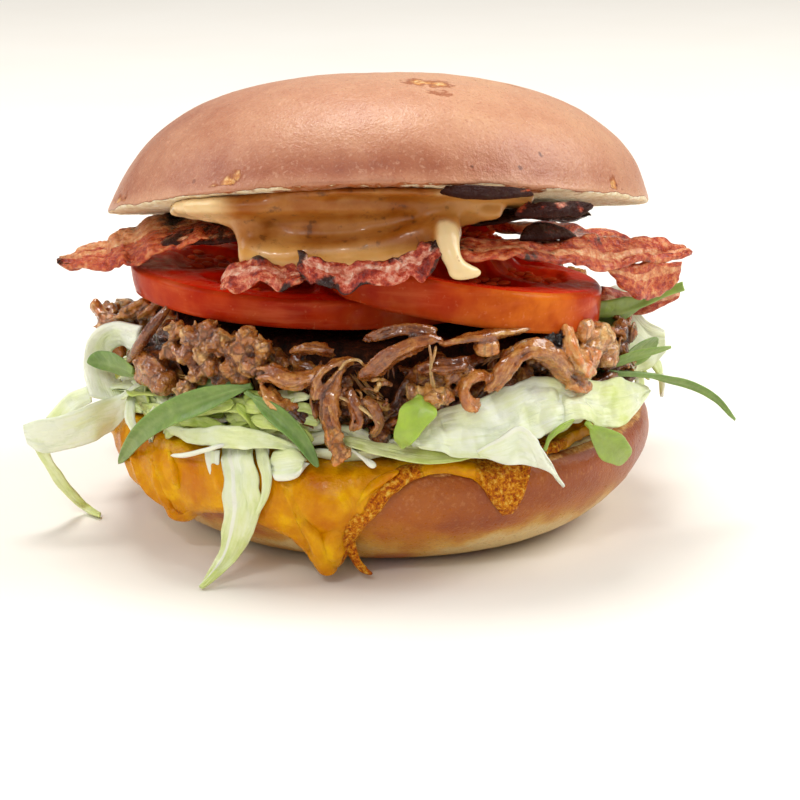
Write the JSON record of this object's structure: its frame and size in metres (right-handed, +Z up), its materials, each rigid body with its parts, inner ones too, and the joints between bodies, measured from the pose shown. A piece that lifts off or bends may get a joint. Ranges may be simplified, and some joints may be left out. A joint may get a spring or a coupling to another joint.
{
  "type": "pulled chicken burger",
  "caption": "Brioche-style burger stacked with pulled chicken, melted cheddar, lettuce, rocket, tomato slices, crisp bacon and burger sauce, free-standing on its flat base.",
  "frame": {"origin": "Centre of the heel bun's flat underside, the face the burger stands on.", "axes": "+X to the right and -Y towards a person who faces the front, where the cheese drip and the sauce show; +Z up. The bacon and lettuce stick out furthest along X."},
  "size_m": [0.1392, 0.1194, 0.0914],
  "materials": {
    "bun_crust": "satin",
    "cheddar": "glossy",
    "lettuce": "satin",
    "rocket": "satin",
    "pulled_chicken": "glossy",
    "tomato": "glossy",
    "bacon": "satin",
    "burger_sauce": "glossy"
  },
  "bodies": {
    "root": {"heel_bun": "bun_crust", "crown_bun": "bun_crust", "cheddar_slice": "cheddar", "lettuce_bed": "lettuce", "lettuce_shred_left": "lettuce", "lettuce_shred_front": "lettuce", "lettuce_leaf_right": "lettuce", "lettuce_leaf_fold": "lettuce", "lettuce_leaf_back": "lettuce", "rocket_leaf_left": "rocket", "rocket_leaf_front": "rocket", "rocket_leaf_inner": "rocket", "rocket_leaf_loop": "rocket", "rocket_leaf_centre": "rocket", "rocket_leaf_right_upper": "rocket", "rocket_leaf_right_middle": "rocket", "rocket_blade_right": "rocket", "rocket_stem_right": "rocket", "rocket_leaf_right_low": "rocket", "rocket_leaf_back": "rocket", "rocket_leaf_back_left": "rocket", "pulled_chicken": "pulled_chicken", "tomato_slice_left": "tomato", "tomato_slice_right": "tomato", "bacon_rasher_left": "bacon", "bacon_rasher_right": "bacon", "bacon_rasher_right_fold": "bacon", "bacon_tip_right": "bacon", "bacon_rasher_under_crown": "bacon", "bacon_curl_right": "bacon", "bacon_front_left": "bacon", "bacon_front_middle": "bacon", "bacon_end_crown": "bacon", "bacon_rasher_back": "bacon", "burger_sauce": "burger_sauce"}
  },
  "joints": []
}
